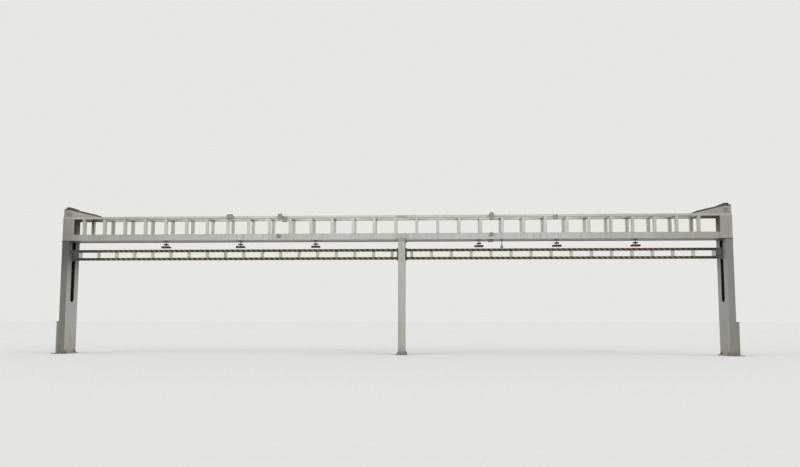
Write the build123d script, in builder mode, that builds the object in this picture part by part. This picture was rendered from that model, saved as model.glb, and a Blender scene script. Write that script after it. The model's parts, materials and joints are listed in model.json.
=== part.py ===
from build123d import *
import os

# Height restriction gantry over a two-way road. X runs across the road, Y along it, Z up.
# The origin is on the ground, midway between the two end columns. All sizes are in millimetres.

# Spans and heights
left_span = 16163  # left column axis to centre column axis
right_span = 15037  # centre column axis to right column axis
clear_height = 4480  # ground to the underside of a raised lift beam
lowered_height = 2480  # ground to the underside of a lowered lift beam
headroom = 400  # top of a raised lift beam to the underside of the main beam
beam_height = 1150
beam_depth = 900  # front face to rear face of the main beam

# Columns
column_width = 310
centre_width = 330
column_depth = 950
column_wall = 12
column_corner = 10
head_thickness = 30
head_overhang = 25
slot_width = 280
slot_margin = 20  # slot bottom below the lowered lift beam

# Column feet
base_thickness = 30
base_overhang = 80
rib_thickness = 12
rib_height = 180
rib_reach = 70
rib_spread = 660  # between the ribs on a side face
rib_spacing = 180  # between the ribs on the front or rear face
anchor_radius = 20
anchor_edge = 40  # anchor hole centre from the column face
anchor_setback = 60  # corner hole centre back from the front or rear face

# Lower chords of the main beam, channels with their webs outward
lower_height = 295
lower_flange = 140
flange_thickness = 14
lower_web = 10

# Upper chords and posts of the main beam, square tubes
upper_height = 105
tube_width = 130
tube_wall = 6
bay_length = 1000
post_offset = 293  # first post left of the centre column axis
last_post_gap = 615  # least distance from a post to the beam end
front_panel = 545  # closed length of the front side at a beam end
rear_panel = 310
panel_thickness = 8
end_opening_margin = 60

# Members between the front and rear sides
tie_height = 60
tie_width = 80
lace_width = 45
soffit_thickness = 6
cross_height = 160
cross_width = 60

# Sheave housings on the beam ends
housing_length = 1550
housing_low = 50
housing_high = 340
housing_flat = 300  # length of the high part
housing_lip = 60  # end frame that stands as high as the cover
housing_inset = 30
housing_wall = 8
cover_height = 80
cover_wall = 5
cap_height = 80
cap_length = 200
cap_depth = 700

# Winch cabinets on the outer faces of the end columns
cabinet_width = 240
cabinet_depth = 500
cabinet_height = 1510
cabinet_wall = 4
cabinet_roof = 30
cabinet_lip = 20
door_margin = 45
door_thickness = 12

# Knee plates at the head of the centre column
knee_width = 70
knee_drop = 110
knee_thickness = 16
knee_spread = 620

# Lift beams
bar_size = 120
bar_wall = 5
bar_spacing = 390
left_lift_bays = 17
right_lift_bays = 15
lift_post_width = 140
lift_post_depth = 80
lift_post_wall = 5
first_post_offset = 300  # centre column face to the first lift post
tongue_reach = 280  # bar end to the end column face
tongue_thickness = 60
plate_clearance = 15
plate_thickness = 50
plate_height = 590
plate_depth = 150

# Carriages and guide rails inside the columns
roller_radius = 50
roller_width = 50
roller_gap = 0.5
carriage_depth = 316
carriage_thickness = 25
carriage_margin = 30
axle_radius = 20
axle_box = 80
rail_thickness = 9
rail_lap = 7
rail_web_gap = 6
rail_foot = 80  # rail below the slot bottom

# Lane sensors under the main beam, one to a lane
lane_width = 3650
left_lane_offset = 4133
lanes = 3
sensor_length = 420
sensor_depth = 240
sensor_height = 75
sensor_corner = 35
sensor_drop = 320  # underside of the main beam to the underside of a sensor
stem_width = 26
joint_length = 190
joint_depth = 150
joint_height = 60
joint_drop = 180  # underside of the main beam to the underside of a junction box

# Places worked out from the sizes above
half_span = (left_span + right_span) / 2
centre_x = left_span - half_span
beam_half = half_span + column_width / 2
beam_underside = clear_height + bar_spacing + bar_size + headroom
beam_top = beam_underside + beam_height
column_top = beam_underside - head_thickness
slot_bottom = lowered_height - slot_margin
lower_top = beam_underside + lower_height
upper_bottom = beam_top - upper_height
side_y = (beam_depth - tube_width) / 2
web_reach = beam_depth / 2 - lower_web
tie_reach = beam_depth / 2 - tube_width
lift_bottom_z = clear_height + bar_size / 2
lift_top_z = lift_bottom_z + bar_spacing
rail_half = roller_radius + roller_gap + rail_thickness
rail_inset = column_wall + rail_half
left_room = left_span + column_width / 2 - last_post_gap
right_room = right_span + column_width / 2 - last_post_gap
left_posts = int((left_room - post_offset) // bay_length) + 1
right_posts = int((right_room + post_offset) // bay_length)
post_xs = [centre_x - post_offset + i * bay_length for i in range(1 - left_posts, right_posts + 1)]

os.makedirs("parts", exist_ok=True)


def save(piece, name):
    """Label a finished piece and write it to its own file."""
    piece.part.label = name
    export_step(piece.part, f"parts/{name}.step")


def block(x_range, y_range, z_range, mode=Mode.ADD):
    """A rectangular block between two corners, in the part being built."""
    spans = [sorted(limits) for limits in (x_range, y_range, z_range)]
    with Locations(Vector(*[sum(limits) / 2 for limits in spans])):
        Box(*[high - low for low, high in spans], mode=mode)


def gusset(plane, face, reach, z, rise, thickness=rib_thickness):
    """A triangular plate in the corner between an upright face and a level one at height z."""
    with BuildSketch(plane) as triangle:
        with BuildLine():
            Polyline((face, z), (face + reach, z), (face, z + rise), close=True)
        make_face()
    extrude(triangle.sketch, amount=thickness / 2, both=True)


def column(name, axis_x, width, slot_sides):
    """A box column with its head flange, slotted in each side face that a lift beam enters."""
    with BuildPart() as shell:
        with BuildSketch(Plane.XY.offset(base_thickness)):
            with Locations((axis_x, 0)):
                RectangleRounded(width, column_depth, column_corner)
                Rectangle(width - 2 * column_wall, column_depth - 2 * column_wall, mode=Mode.SUBTRACT)
        extrude(amount=column_top - base_thickness)
        for side in slot_sides:
            face = Plane(origin=(axis_x + side * width / 2, 0, 0), x_dir=(0, 1, 0), z_dir=(side, 0, 0))
            round_z = slot_bottom + slot_width / 2
            with BuildSketch(face):
                with Locations(face.to_local_coords(Vector(face.origin.X, 0, round_z))):
                    Circle(slot_width / 2)
                with Locations(face.to_local_coords(Vector(face.origin.X, 0, (round_z + column_top) / 2))):
                    Rectangle(slot_width, column_top - round_z)
            extrude(amount=-column_wall, mode=Mode.SUBTRACT)
        with BuildSketch(Plane.XY.offset(column_top)):
            with Locations((axis_x, 0)):
                Rectangle(width, column_depth + 2 * head_overhang)
        extrude(amount=head_thickness)
    save(shell, name)


def base(name, axis_x, width, left_overhang, right_overhang):
    """A foot plate with anchor holes, and ribs that stiffen it against the column."""
    face_y = column_depth / 2
    with BuildPart() as foot:
        with BuildSketch():
            with Locations((axis_x + (right_overhang - left_overhang) / 2, 0)):
                Rectangle(width + left_overhang + right_overhang, column_depth + 2 * base_overhang)
            with Locations((axis_x, 0)):
                with GridLocations(width + 2 * anchor_edge, column_depth - 2 * anchor_setback, 2, 2):
                    Circle(anchor_radius, mode=Mode.SUBTRACT)
                with GridLocations(0, column_depth + 2 * anchor_edge, 1, 2):
                    Circle(anchor_radius, mode=Mode.SUBTRACT)
        extrude(amount=base_thickness)
        for side in (-1, 1):
            reach = side * rib_reach
            for y in (-rib_spread / 2, rib_spread / 2):
                gusset(Plane.XZ.offset(-y), axis_x + side * width / 2, reach, base_thickness, rib_height)
            for x in (axis_x - rib_spacing / 2, axis_x + rib_spacing / 2):
                gusset(Plane.YZ.offset(x), side * face_y, reach, base_thickness, rib_height)
    save(foot, name)


def cabinet(name, side):
    """A sheet metal winch cabinet that stands on the foot plate against the column."""
    inner = side * (half_span + column_width / 2)
    outer = inner + side * cabinet_width
    bottom = base_thickness
    top = bottom + cabinet_height
    half = cabinet_depth / 2
    with BuildPart() as case:
        block((inner, outer), (-half, half), (bottom, top - cabinet_roof))
        block(
            (inner + side * cabinet_wall, outer - side * cabinet_wall),
            (-half + cabinet_wall, half - cabinet_wall),
            (bottom, top - cabinet_roof - cabinet_wall),
            mode=Mode.SUBTRACT,
        )
        block(
            (inner, outer + side * cabinet_lip),
            (-half - cabinet_lip, half + cabinet_lip),
            (top - cabinet_roof, top),
        )
        block(
            (outer, outer + side * door_thickness),
            (-half + door_margin, half - door_margin),
            (bottom + 2 * door_margin, top - cabinet_roof - door_margin),
        )
    save(case, name)


def lower_chord(name, side):
    """A channel along the whole beam, with its web on the outside and its flanges inward."""
    face = side * beam_depth / 2
    with BuildPart() as chord:
        block((-beam_half, beam_half), (face, side * web_reach), (beam_underside, lower_top))
        for z in (beam_underside, lower_top - flange_thickness):
            block(
                (-beam_half, beam_half),
                (face, face - side * lower_flange),
                (z, z + flange_thickness),
            )
    save(chord, name)


def truss_side(name, side, start_x, end_x):
    """One span of one side: the upper chord tube with its posts, welded together."""
    posts = [x for x in post_xs if start_x < x < end_x]
    post_height = upper_bottom - lower_top
    tube_hollow = tube_width - 2 * tube_wall
    with BuildPart() as lattice:
        with BuildSketch(Plane.YZ.offset(start_x)):
            with Locations((side * side_y, beam_top - upper_height / 2)):
                Rectangle(tube_width, upper_height)
        extrude(amount=end_x - start_x)
        with BuildSketch(Plane.XY.offset(lower_top)):
            with Locations([(x, side * side_y) for x in posts]):
                Rectangle(tube_width, tube_width)
        extrude(amount=post_height)
        with BuildSketch(Plane.XY.offset(lower_top)):
            with Locations([(x, side * side_y) for x in posts]):
                Rectangle(tube_hollow, tube_hollow)
        extrude(amount=post_height, mode=Mode.SUBTRACT)
        with BuildSketch(Plane.YZ.offset(start_x)):
            with Locations((side * side_y, beam_top - upper_height / 2)):
                Rectangle(tube_hollow, upper_height - 2 * tube_wall)
        extrude(amount=end_x - start_x, mode=Mode.SUBTRACT)
    save(lattice, name)


def top_bracing():
    """Ties between the upper chords at each post, laced by diagonals, all in one plane."""
    with BuildPart() as bracing:
        with BuildSketch(Plane.XY.offset(beam_top - upper_height / 2 - tie_height / 2)):
            with Locations([(x, 0) for x in post_xs]):
                Rectangle(tie_width, 2 * tie_reach)
            for i, x in enumerate(post_xs[:-1]):
                turn = 1 if i % 2 else -1
                with BuildLine():
                    Polyline(
                        (x, -turn * tie_reach),
                        (x + lace_width, -turn * tie_reach),
                        (x + bay_length, turn * tie_reach),
                        (x + bay_length - lace_width, turn * tie_reach),
                        close=True,
                    )
                make_face()
        extrude(amount=tie_height)
    save(bracing, "top_bracing")


def soffit():
    """The plate that closes the underside, lying on the lower flanges between the webs."""
    bottom = beam_underside + flange_thickness
    with BuildPart() as plate:
        block((-beam_half, beam_half), (-web_reach, web_reach), (bottom, bottom + soffit_thickness))
    save(plate, "soffit_plate")


def cross_beams():
    """Cross beams on the soffit plate between the lower chord webs, at every second post."""
    bottom = beam_underside + flange_thickness + soffit_thickness
    with BuildPart() as beams:
        with BuildSketch(Plane.XY.offset(bottom)):
            with Locations([(x, 0) for x in post_xs[::2]]):
                Rectangle(cross_width, 2 * web_reach)
        extrude(amount=cross_height)
    save(beams, "cross_beams")


def end_cover(name, side):
    """The framed plate on a beam end, with the infill panels over the column."""
    end = side * beam_half
    half = beam_depth / 2
    opening = half - tube_width - end_opening_margin
    with BuildPart() as cover:
        block((end, end + side * panel_thickness), (-half, half), (beam_underside, beam_top))
        block(
            (end, end + side * panel_thickness),
            (-opening, opening),
            (lower_top + end_opening_margin, upper_bottom - end_opening_margin),
            mode=Mode.SUBTRACT,
        )
        for face, length in ((-1, front_panel), (1, rear_panel)):
            block(
                (end - side * length, end),
                (face * half, face * (half - panel_thickness)),
                (lower_top, upper_bottom),
            )
    save(cover, name)


def housing_line(side, lift):
    """The sloping top line of a sheave housing from its inner end to its end frame."""
    steps = [
        (beam_half - housing_length, housing_low),
        (beam_half - housing_flat, housing_high),
        (beam_half - housing_lip, housing_high),
    ]
    return [(side * x, beam_top + rise + lift) for x, rise in steps]


def hood(outline, wall):
    """A box folded from sheet round an outline in the XZ plane, open along its lower faces."""
    with BuildSketch(Plane.XZ) as profile:
        with BuildLine():
            Polyline(*outline, close=True)
        make_face()
    body = extrude(profile.sketch, amount=beam_depth / 2 - housing_inset, both=True)
    lower = [face for face in body.faces() if face.normal_at().Z < -0.5]
    offset(amount=-wall, openings=lower)


def housing(name, side):
    """The open-bottomed sheave housing on a beam end, with its raised end frame."""
    lip_top = beam_top + housing_high + cover_height
    end_frame = [(side * (beam_half - housing_lip), lip_top), (side * beam_half, lip_top)]
    base_line = [(side * beam_half, beam_top), (side * (beam_half - housing_length), beam_top)]
    with BuildPart() as box:
        hood(housing_line(side, 0) + end_frame + base_line, housing_wall)
    save(box, name)


def housing_cover(name, side):
    """The dark folded cover on a sheave housing, with the cap across its high part."""
    top = beam_top + housing_high + cover_height
    cap_x = side * (beam_half - (housing_flat + housing_lip) / 2)
    with BuildPart() as cover:
        hood(housing_line(side, cover_height) + housing_line(side, 0)[::-1], cover_wall)
        block(
            (cap_x - cap_length / 2, cap_x + cap_length / 2),
            (-cap_depth / 2, cap_depth / 2),
            (top, top + cap_height),
        )
    save(cover, name)


def centre_knees():
    """Triangular knee plates between the centre column and the head flanges of the beam."""
    with BuildPart() as knees:
        for side in (-1, 1):
            face_x = centre_x + side * centre_width / 2
            for y in (-knee_spread / 2, knee_spread / 2):
                plane = Plane.XZ.offset(-y)
                gusset(plane, face_x, side * knee_width, beam_underside, -knee_drop, knee_thickness)
    save(knees, "centre_knees")


def guide_rails(name, faces):
    """Channel rails behind the edges of a slot. Each face is its x and the way into the column."""
    roller_end = carriage_depth / 2 + roller_width
    web_y = roller_end + rail_web_gap + rail_thickness / 2
    tip_y = carriage_depth / 2 + rail_lap
    with BuildPart() as rails:
        for face_x, into in faces:
            rail_x = face_x + into * rail_inset
            with BuildSketch(Plane.XY.offset(slot_bottom - rail_foot)):
                for side in (-1, 1):
                    with Locations((rail_x, side * web_y)):
                        Rectangle(2 * rail_half, rail_thickness)
                    with Locations((rail_x, side * (tip_y + web_y) / 2)):
                        with GridLocations(2 * rail_half - rail_thickness, 0, 2, 1):
                            Rectangle(rail_thickness, web_y - tip_y)
            extrude(amount=column_top - slot_bottom + rail_foot)
    save(rails, name)


def lane_sensor(name, x):
    """A flat sensor head and its junction box on a stem under the soffit plate."""
    bottom = beam_underside - sensor_drop
    with BuildPart() as sensor:
        with BuildSketch(Plane.XY.offset(bottom)):
            with Locations((x, 0)):
                RectangleRounded(sensor_length, sensor_depth, sensor_corner)
        extrude(amount=sensor_height)
        with BuildSketch(Plane.XY.offset(bottom)):
            with Locations((x, 0)):
                Rectangle(stem_width, stem_width)
        extrude(amount=sensor_drop + flange_thickness)
        block(
            (x - joint_length / 2, x + joint_length / 2),
            (-joint_depth / 2, joint_depth / 2),
            (beam_underside - joint_drop, beam_underside - joint_drop + joint_height),
        )
    save(sensor, name)


def carriage(name, face_x, into, reach):
    """A roller carriage inside a column, with the tongue that carries the lift beam's end."""
    rail_x = face_x + into * rail_inset
    bottom = clear_height
    top = lift_top_z + bar_size / 2
    half = carriage_depth / 2
    with BuildPart() as frame:
        block(
            (rail_x - carriage_thickness / 2, rail_x + carriage_thickness / 2),
            (-half, half),
            (bottom - carriage_margin, top + carriage_margin),
        )
        block((face_x - into * reach, rail_x), (-tongue_thickness / 2, tongue_thickness / 2), (bottom, top))
        for z in (bottom + roller_radius, top - roller_radius):
            block(
                (rail_x - axle_box / 2, rail_x + axle_box / 2),
                (-half, half),
                (z - axle_box / 2, z + axle_box / 2),
            )
            with Locations(Location((rail_x, 0, z), (90, 0, 0))):
                Cylinder(axle_radius, 2 * (half + roller_width))
            for side in (-1, 1):
                with Locations(Location((rail_x, side * (half + roller_width / 2), z), (90, 0, 0))):
                    Cylinder(roller_radius, roller_width)
    save(frame, name)


def lift_beam(name, side, bays):
    """One raising and lowering beam: two bars, the posts between them and its end pieces."""
    inner = centre_x + side * centre_width / 2
    outer = side * (half_span - column_width / 2)
    bar_start = inner + side * (plate_clearance + plate_thickness)
    bar_end = outer - side * tongue_reach
    for bar_name, z in (("top_bar", lift_top_z), ("bottom_bar", lift_bottom_z)):
        with BuildPart() as bar:
            with BuildSketch(Plane.YZ.offset(bar_start)):
                with Locations((0, z)):
                    Rectangle(bar_size, bar_size)
                    Rectangle(bar_size - 2 * bar_wall, bar_size - 2 * bar_wall, mode=Mode.SUBTRACT)
            extrude(amount=bar_end - bar_start)
        save(bar, f"{name}_lift_{bar_name}")

    first = inner + side * first_post_offset
    last = bar_end - side * lift_post_width / 2
    pitch = (last - first) / bays
    with BuildPart() as posts:
        with BuildSketch(Plane.XY.offset(lift_bottom_z + bar_size / 2)):
            with Locations([(first + i * pitch, 0) for i in range(bays + 1)]):
                Rectangle(lift_post_width, lift_post_depth)
                Rectangle(
                    lift_post_width - 2 * lift_post_wall,
                    lift_post_depth - 2 * lift_post_wall,
                    mode=Mode.SUBTRACT,
                )
        extrude(amount=bar_spacing - bar_size)
    save(posts, f"{name}_lift_posts")

    middle = (lift_bottom_z + lift_top_z) / 2
    with BuildPart() as plate:
        block(
            (inner + side * plate_clearance, bar_start),
            (-plate_depth / 2, plate_depth / 2),
            (middle - plate_height / 2, middle + plate_height / 2),
        )
    save(plate, f"{name}_lift_end_plate")

    carriage(f"{name}_inner_carriage", inner, -side, plate_clearance)
    carriage(f"{name}_outer_carriage", outer, side, tongue_reach)


centre_left = centre_x - centre_width / 2
centre_right = centre_x + centre_width / 2
end_face = half_span - column_width / 2
outer_overhang = cabinet_width + cabinet_lip

column("left_column", -half_span, column_width, [1])
column("right_column", half_span, column_width, [-1])
column("centre_column", centre_x, centre_width, [-1, 1])
base("left_base_plate", -half_span, column_width, outer_overhang, base_overhang)
base("right_base_plate", half_span, column_width, base_overhang, outer_overhang)
base("centre_base_plate", centre_x, centre_width, base_overhang, base_overhang)
cabinet("left_winch_cabinet", -1)
cabinet("right_winch_cabinet", 1)
guide_rails("left_guide_rails", [(-end_face, -1)])
guide_rails("right_guide_rails", [(end_face, 1)])
guide_rails("centre_guide_rails", [(centre_left, 1), (centre_right, -1)])

lower_chord("front_lower_chord", -1)
lower_chord("rear_lower_chord", 1)
truss_side("left_front_truss", -1, -beam_half, centre_x)
truss_side("right_front_truss", -1, centre_x, beam_half)
truss_side("left_rear_truss", 1, -beam_half, centre_x)
truss_side("right_rear_truss", 1, centre_x, beam_half)
top_bracing()
soffit()
cross_beams()
end_cover("left_end_cover", -1)
end_cover("right_end_cover", 1)
housing("left_sheave_housing", -1)
housing("right_sheave_housing", 1)
housing_cover("left_housing_cover", -1)
housing_cover("right_housing_cover", 1)
centre_knees()
for lane in range(lanes):
    lane_sensor(f"left_lane_sensor_{lane + 1}", centre_x - left_lane_offset - lane * lane_width)
    lane_sensor(f"right_lane_sensor_{lane + 1}", centre_x + (lane + 1) * lane_width)

lift_beam("left", -1, left_lift_bays)
lift_beam("right", 1, right_lift_bays)
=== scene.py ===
import json
import math

import bmesh
import bpy
from mathutils import Matrix, Vector


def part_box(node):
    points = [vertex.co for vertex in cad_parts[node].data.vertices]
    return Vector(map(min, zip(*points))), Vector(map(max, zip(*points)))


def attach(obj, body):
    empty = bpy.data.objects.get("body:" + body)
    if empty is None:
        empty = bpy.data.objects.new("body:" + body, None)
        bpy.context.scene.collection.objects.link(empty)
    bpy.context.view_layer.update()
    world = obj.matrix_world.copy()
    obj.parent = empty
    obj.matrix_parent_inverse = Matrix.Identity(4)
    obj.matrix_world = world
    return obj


# Height restriction gantry over a two-way road. Lengths are in metres, in the frame of the solids:
# X across the road, Y along it, Z up.

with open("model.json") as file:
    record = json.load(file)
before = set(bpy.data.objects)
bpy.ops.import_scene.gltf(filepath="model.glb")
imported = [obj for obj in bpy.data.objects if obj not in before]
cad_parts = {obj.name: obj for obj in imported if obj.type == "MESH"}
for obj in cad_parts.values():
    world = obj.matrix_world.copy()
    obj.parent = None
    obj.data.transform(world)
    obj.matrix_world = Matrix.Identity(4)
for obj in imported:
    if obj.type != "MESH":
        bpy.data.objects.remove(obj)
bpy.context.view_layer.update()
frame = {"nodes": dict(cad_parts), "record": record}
nodes = frame["nodes"]
scene = bpy.context.scene
scene.view_settings.view_transform = "Standard"

# Camera, worked out from the perspective of the columns and of the beam. Lens and sensor are in
# millimetres, and the shift is a share of the picture's width.
CAMERA_PLACE = (1.693, -28.376, 1.56)
CAMERA_YAW = math.radians(2.465)
CAMERA_PITCH = math.radians(4.306)
CAMERA_ROLL = math.radians(0.072)
CAMERA_LENS = 27
CAMERA_SENSOR = 36
CAMERA_SHIFT = 42.5 / 800

# Two broad lamps, from the front left and the front right
LAMP_POWER = 0.95
LAMP_TILT = math.radians(54)  # from straight down
LAMP_AZIMUTH = math.radians(65)
LAMP_ANGLE = math.radians(50)  # how wide the lamp shows, which softens its shadows

# The surround and the floor: the tone that the camera sees, and the one that lights the gantry
SURROUND_SEEN = (0.80, 0.806, 0.77)
SURROUND_FELT = (1, 1, 1)
FLOOR_SEEN = (0.57, 0.57, 0.56)
FLOOR_FELT = (0.25, 0.25, 0.25)
FLOOR_HALF = 1200  # half the width of the floor

# Colours of the paint, of what settles on it, of the painted shade on it, and of the darker tone at the
# top of a column
PAINT = (0.6, 0.605, 0.57)
COVER_PAINT = (0.055, 0.062, 0.06)
# dirt, and also the tone of the painted shade in corners and towards the beam's ends
DIRT_AND_SHADE = (0.19, 0.176, 0.152)
DUST = (0.26, 0.225, 0.17)
# the tone of the painted shade on the faces that look along the road
FACE_SHADE_TONE = (0.11, 0.108, 0.094)
RUST = (0.17, 0.075, 0.03)
# the darker tone towards the top of a column
DARKER_TONE = (0.07, 0.073, 0.062)

# Where the painted shade on the beam grows, by distance from the middle, with more of it on the last
# stretch of the left end, and where the striped bars blacken towards the end columns
BEAM_END_SHADE = (6.0, 16.0)
LEFT_END_SHADE = (14.4, 15.6)
BAR_DARKENING = (13.2, 14.6)

# Warning bands on the striped bars
BAND_PERIOD = 0.25
BAND_SHARE = 0.36  # yellow in each period
BAND_BLACK = (0.009, 0.009, 0.008)
BAND_YELLOW = (0.29, 0.22, 0.085)
BAND_DIRT = (0.034, 0.03, 0.025)

# Sides of the gantry and faces of its beam, with the sign of X or Y there
SIDES = (("left", -1), ("right", 1))
FACES = (("front", -1), ("rear", 1))

# Sizes of the frame that its pieces share
HEAD_OVERHANG = 0.025  # column head flange beyond the column
HEAD_THICKNESS = 0.03
BASE_THICKNESS = 0.03
ANCHOR_EDGE = 0.04  # anchor bolt from the column face
ANCHOR_SETBACK = 0.06  # corner anchor bolt back from the front or rear face
CENTRE_X = 0.563
FLANGE_THICKNESS = 0.014
CHORD_TUBE = 0.13  # upper chord and post width
UPPER_CHORD_HEIGHT = 0.105
END_PLATE = 0.008  # framed plate on each end of the beam
END_PANELS = ((-1, 0.545), (1, 0.31))  # infill panels at each end: front or rear, and length
SENSOR_HEAD_HEIGHT = 0.075
CABINET_ROOF_OVERHANG = 0.02
CABINET_DOOR_RISE = 0.012  # door panel out of the case
HOUSING_FLAT = 0.24  # level stretch of a housing cover
COVER_HEIGHT = 0.08
CAP_SIZE = (0.2, 0.7)  # vent cap on a housing cover, along X and Y

# Fasteners: width across the flats, height of the head or nut, washer radius
M10 = (0.017, 0.0065, 0.011)
M16 = (0.024, 0.010, 0.017)
M20 = (0.030, 0.0125, 0.021)
M36 = (0.055, 0.029, 0.036)
SCREW_HEAD = [(0.005, 0), (0.005, 0.002), (0.003, 0.003)]  # profile of radius and height

# Welds
WELD_LEG = 0.009
WELD_PITCH = 0.014

# Cased devices on the front of the beam: middle X, width, and the heights of the foot and top
CHORD_DEVICES = (
    (-5.20, 0.21, 6.36, 6.62),
    (-4.97, 0.23, 6.24, 6.44),
    (4.77, 0.20, 6.28, 6.62),
    (7.72, 0.23, 6.31, 6.46),
    (4.76, 0.15, 5.56, 5.69),
    (-7.61, 0.30, 6.40, 6.61),
    (-5.27, 0.14, 5.53, 5.65),
)
DEVICE_DEPTH = 0.075
DEVICE_STANDOFF = 0.014

# Devices under the front of the soffit, behind the lower flange
SOFFIT_DEVICE_Y = -0.215
PENDANT_X = 5.26
SOFFIT_CASE_X = 4.74
SOFFIT_CASE_SIZE = (0.24, 0.15, 0.125)


def add_camera():
    """The camera at eye level on the road, with the picture's centre above its axis."""
    cam = bpy.data.cameras.new("camera")
    cam.lens = CAMERA_LENS
    cam.sensor_width = CAMERA_SENSOR
    cam.shift_y = CAMERA_SHIFT
    cam.clip_end = 2000
    obj = bpy.data.objects.new("camera", cam)
    turn = Matrix.Rotation(CAMERA_YAW, 4, "Z") @ Matrix.Rotation(math.pi / 2 + CAMERA_PITCH, 4, "X")
    obj.matrix_world = Matrix.Translation(CAMERA_PLACE) @ turn @ Matrix.Rotation(CAMERA_ROLL, 4, "Z")
    scene.collection.objects.link(obj)
    scene.camera = obj


class Nodes:
    """A small builder of one material's node tree."""

    def __init__(self, name):
        self.material = bpy.data.materials.new(name)
        self.material.use_nodes = True
        self.tree = self.material.node_tree
        self.shader = self.tree.nodes["Principled BSDF"]
        self.coordinates = self.add("ShaderNodeTexCoord")
        self.coords = self.coordinates.outputs["Object"]

    def add(self, kind, **settings):
        node = self.tree.nodes.new(kind)
        for key, value in settings.items():
            setattr(node, key, value)
        return node

    def feed(self, node, socket, value):
        """Link an output to a socket, or set the socket to a plain value."""
        if isinstance(value, bpy.types.NodeSocket):
            self.tree.links.new(value, node.inputs[socket])
        else:
            node.inputs[socket].default_value = value

    def scaled(self, scale):
        node = self.add("ShaderNodeMapping")
        self.feed(node, "Vector", self.coords)
        node.inputs["Scale"].default_value = scale
        return node.outputs["Vector"]

    def noise(self, scale, detail=3.0, stretch=None, rough=0.5):
        """Noise with scale features to the metre, stretched along an axis when asked."""
        node = self.add("ShaderNodeTexNoise")
        self.feed(node, "Vector", self.scaled(stretch) if stretch else self.coords)
        self.feed(node, "Scale", scale)
        self.feed(node, "Detail", detail)
        self.feed(node, "Roughness", rough)
        return node.outputs["Fac"]

    def ramp(self, value, low, high, start=0.0, end=1.0):
        """Map low..high onto start..end, smoothly and clamped."""
        node = self.add("ShaderNodeMapRange", interpolation_type="SMOOTHSTEP")
        self.feed(node, "Value", value)
        self.feed(node, "From Min", low)
        self.feed(node, "From Max", high)
        self.feed(node, "To Min", start)
        self.feed(node, "To Max", end)
        return node.outputs["Result"]

    def math(self, operation, first, second=0.0):
        node = self.add("ShaderNodeMath", operation=operation)
        self.feed(node, 0, first)
        self.feed(node, 1, second)
        return node.outputs["Value"]

    def mix(self, factor, first, second):
        """A blend of two colours. Sockets 6 and 7 of the node are its colours, and output 2 their mix."""
        node = self.add("ShaderNodeMix", data_type="RGBA")
        self.feed(node, "Factor", factor)
        for socket, value in ((6, first), (7, second)):
            self.feed(node, socket, value if isinstance(value, bpy.types.NodeSocket) else (*value, 1))
        return node.outputs[2]

    def axis(self, name):
        """The place along an axis, in metres."""
        node = self.add("ShaderNodeSeparateXYZ")
        self.feed(node, "Vector", self.coords)
        return node.outputs[name]

    def turned(self, name):
        """How far a face looks along an axis, from -1 to 1."""
        node = self.add("ShaderNodeSeparateXYZ")
        self.feed(node, "Vector", self.coordinates.outputs["Normal"])
        return node.outputs[name]

    def settled(self, tone, share):
        """The tone with patches of dust on the faces that look up."""
        level = self.ramp(self.turned("Z"), 0.6, 0.95, 0.0, share)
        patch = self.ramp(self.noise(3.1, 6.0), 0.35, 0.65, 0.3, 1.0)
        return self.mix(self.math("MULTIPLY", level, patch), tone, DUST)

    def bump(self, height, distance, under=None):
        """The normal tilted by a height, on top of the normal under it."""
        node = self.add("ShaderNodeBump")
        self.feed(node, "Height", height)
        self.feed(node, "Distance", distance)
        self.feed(node, "Strength", 1.0)
        if under:
            self.feed(node, "Normal", under)
        return node.outputs["Normal"]

    def crevice(self, reach):
        """1 in corners and gaps narrower than the reach, 0 on open faces."""
        node = self.add("ShaderNodeAmbientOcclusion", samples=6)
        self.feed(node, "Distance", reach)
        return self.ramp(node.outputs["AO"], 0.35, 0.95, 1.0, 0.0)

    def edges(self, radius):
        """The normal with its edges rounded over the radius, and a mask that is 1 along them."""
        rounded = self.add("ShaderNodeBevel", samples=4)
        self.feed(rounded, "Radius", radius)
        flat = self.add("ShaderNodeNewGeometry").outputs["Normal"]
        turn = self.add("ShaderNodeVectorMath", operation="DOT_PRODUCT")
        self.feed(turn, 0, rounded.outputs["Normal"])
        self.feed(turn, 1, flat)
        return rounded.outputs["Normal"], self.ramp(turn.outputs["Value"], 0.88, 0.995, 1.0, 0.0)

    def finish(self, colour, roughness, normal, metallic=0.0):
        self.feed(self.shader, "Base Color", colour)
        self.feed(self.shader, "Roughness", roughness)
        self.feed(self.shader, "Normal", normal)
        self.feed(self.shader, "Metallic", metallic)
        return self.material


def shade(colour, share):
    return tuple(c * share for c in colour)


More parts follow.
